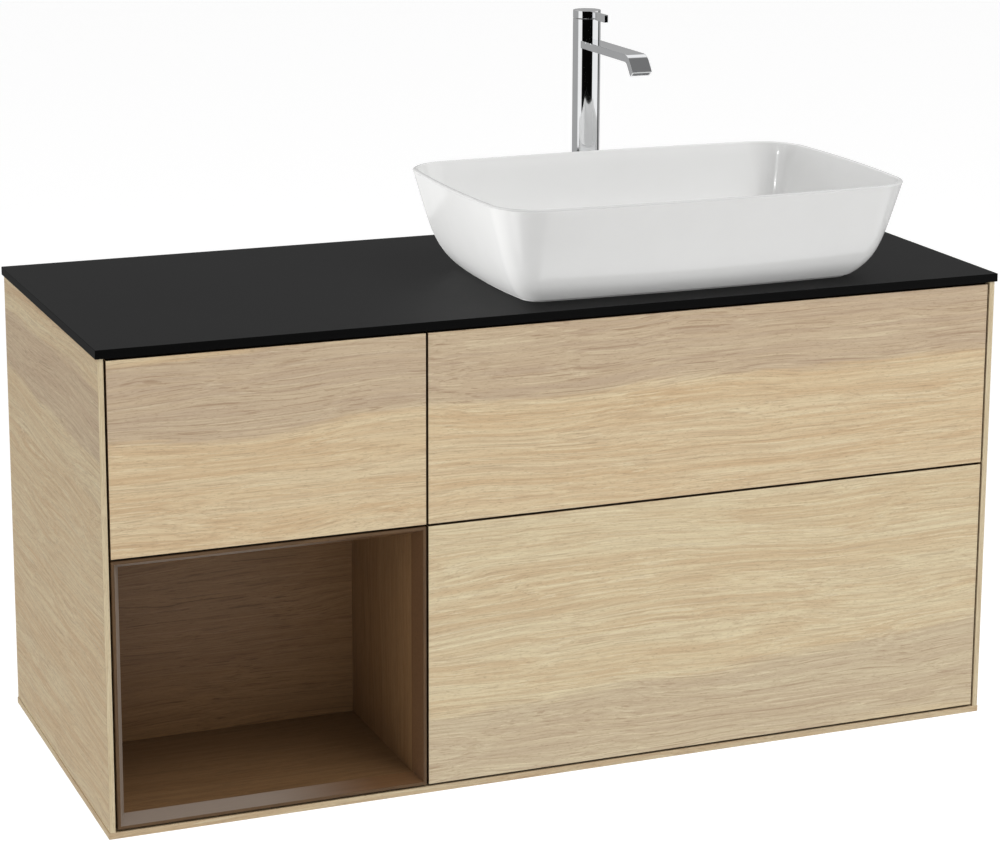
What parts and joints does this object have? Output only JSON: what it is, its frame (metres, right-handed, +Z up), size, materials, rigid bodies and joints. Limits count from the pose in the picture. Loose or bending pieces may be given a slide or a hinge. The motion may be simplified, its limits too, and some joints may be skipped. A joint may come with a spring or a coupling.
{
  "type": "vessel sink on vanity",
  "caption": "Wall-hung oak vanity with push-open drawers, a dark open niche, a black worktop, a rectangular vessel basin and a tall lever tap with a bottle trap.",
  "frame": {"origin": "middle of the wall fixing pattern, on the wall plane", "axes": "+X to the right seen from the front, +Y into the wall, +Z up"},
  "size_m": [1.2, 0.5251, 0.9193],
  "materials": {
    "oak_veneer": "light oak veneer, horizontal grain, matt lacquer",
    "carcass_board": "dark melamine board",
    "smoked_oak": "smoked oak veneer, matt",
    "worktop_laminate": "matt black laminate",
    "glazed_ceramic": "gloss white glaze",
    "chrome": "polished chrome",
    "zinc_steel": "zinc-plated steel",
    "cast_bracket": "zinc die-cast",
    "drawer_metal": "anthracite powder coat",
    "drawer_board": "anthracite board",
    "grey_plastic": "moulded grey plastic",
    "seal_rubber": "sealing rubber",
    "brass": "turned brass",
    "cartridge_plastic": "moulded white plastic"
  },
  "bodies": {
    "cabinet": {"left_side_panel": "oak_veneer", "right_side_panel": "oak_veneer", "bottom_panel": "oak_veneer", "centre_partition": "carcass_board", "front_rail": "carcass_board", "rear_rail": "carcass_board", "hanging_rail": "carcass_board", "niche_frame": "smoked_oak", "niche_floor": "smoked_oak", "niche_ceiling": "smoked_oak", "niche_left_wall": "smoked_oak", "niche_right_wall": "smoked_oak", "niche_back_panel": "smoked_oak", "worktop": "worktop_laminate", "basin": "glazed_ceramic", "tap_body": "chrome", "tap_spout": "chrome", "waste_body": "chrome", "waste_cover": "chrome", "trap_tailpipe": "chrome", "trap_body": "chrome", "trap_cup": "chrome", "trap_outlet_pipe": "chrome", "wall_rosette": "chrome", "waste_and_trap_nuts": "chrome", "wall_plates": "zinc_steel", "cabinet_rails": "zinc_steel", "hanger_brackets": "cast_bracket", "latch_cases": "grey_plastic", "tap_aerator": "grey_plastic", "basin_seal": "seal_rubber", "tap_seal_ring": "seal_rubber", "tap_shank": "brass", "cartridge_nut": "brass", "tap_fixing_set": "brass", "tap_cartridge": "cartridge_plastic"},
    "upper_left_drawer": {"upper_left_drawer_front": "oak_veneer", "upper_left_drawer_sides": "drawer_metal", "upper_left_drawer_bottom": "drawer_board", "upper_left_drawer_back": "drawer_board", "upper_left_drawer_rails": "zinc_steel"},
    "upper_left_mid": {"upper_left_mid_rails": "zinc_steel"},
    "upper_left_plunger": {"upper_left_latch_plunger": "grey_plastic"},
    "upper_right_drawer": {"upper_right_drawer_front": "oak_veneer", "upper_right_drawer_sides": "drawer_metal", "upper_right_drawer_bottom": "drawer_board", "upper_right_drawer_back": "drawer_board", "upper_right_drawer_rails": "zinc_steel"},
    "upper_right_mid": {"upper_right_mid_rails": "zinc_steel"},
    "upper_right_plunger": {"upper_right_latch_plunger": "grey_plastic"},
    "lower_right_drawer": {"lower_right_drawer_front": "oak_veneer", "lower_right_drawer_sides": "drawer_metal", "lower_right_drawer_bottom": "drawer_board", "lower_right_drawer_back": "drawer_board", "lower_right_drawer_rails": "zinc_steel"},
    "lower_right_mid": {"lower_right_mid_rails": "zinc_steel"},
    "lower_right_plunger": {"lower_right_latch_plunger": "grey_plastic"},
    "handle_carrier": {"cartridge_carrier": "grey_plastic"},
    "tap_handle": {"tap_cap": "chrome", "tap_lever": "chrome"}
  },
  "joints": [
    {"name": "upper_left_slide", "type": "slide", "parent": "cabinet", "child": "upper_left_drawer", "axis": [0, -1, 0], "range_m": [0, 0.4]},
    {"name": "upper_left_mid_slide", "type": "slide", "parent": "cabinet", "child": "upper_left_mid", "axis": [0, -1, 0], "range_m": [0, 0.2]},
    {"name": "upper_left_latch_push", "type": "slide", "parent": "cabinet", "child": "upper_left_plunger", "axis": [0, 1, 0], "range_m": [0, 0.003], "stiffness_N_per_m": 500, "springref_m": -0.004},
    {"name": "upper_right_slide", "type": "slide", "parent": "cabinet", "child": "upper_right_drawer", "axis": [0, -1, 0], "range_m": [0, 0.4]},
    {"name": "upper_right_mid_slide", "type": "slide", "parent": "cabinet", "child": "upper_right_mid", "axis": [0, -1, 0], "range_m": [0, 0.2]},
    {"name": "upper_right_latch_push", "type": "slide", "parent": "cabinet", "child": "upper_right_plunger", "axis": [0, 1, 0], "range_m": [0, 0.003], "stiffness_N_per_m": 500, "springref_m": -0.004},
    {"name": "lower_right_slide", "type": "slide", "parent": "cabinet", "child": "lower_right_drawer", "axis": [0, -1, 0], "range_m": [0, 0.4]},
    {"name": "lower_right_mid_slide", "type": "slide", "parent": "cabinet", "child": "lower_right_mid", "axis": [0, -1, 0], "range_m": [0, 0.2]},
    {"name": "lower_right_latch_push", "type": "slide", "parent": "cabinet", "child": "lower_right_plunger", "axis": [0, 1, 0], "range_m": [0, 0.003], "stiffness_N_per_m": 500, "springref_m": -0.004},
    {"name": "handle_turn", "type": "hinge", "parent": "cabinet", "child": "handle_carrier", "pos_m": [0.1856, -0.105, 0.3732], "axis": [0, 0, 1], "range_deg": [-50, 50]},
    {"name": "handle_lift", "type": "hinge", "parent": "handle_carrier", "child": "tap_handle", "pos_m": [0.1856, -0.0878, 0.3641], "axis": [-1, 0, 0], "range_deg": [0, 22]}
  ],
  "couplings": [
    {"joint": "upper_left_mid_slide", "follows": "upper_left_slide", "ratio": 0.5},
    {"joint": "upper_right_mid_slide", "follows": "upper_right_slide", "ratio": 0.5},
    {"joint": "lower_right_mid_slide", "follows": "lower_right_slide", "ratio": 0.5}
  ]
}
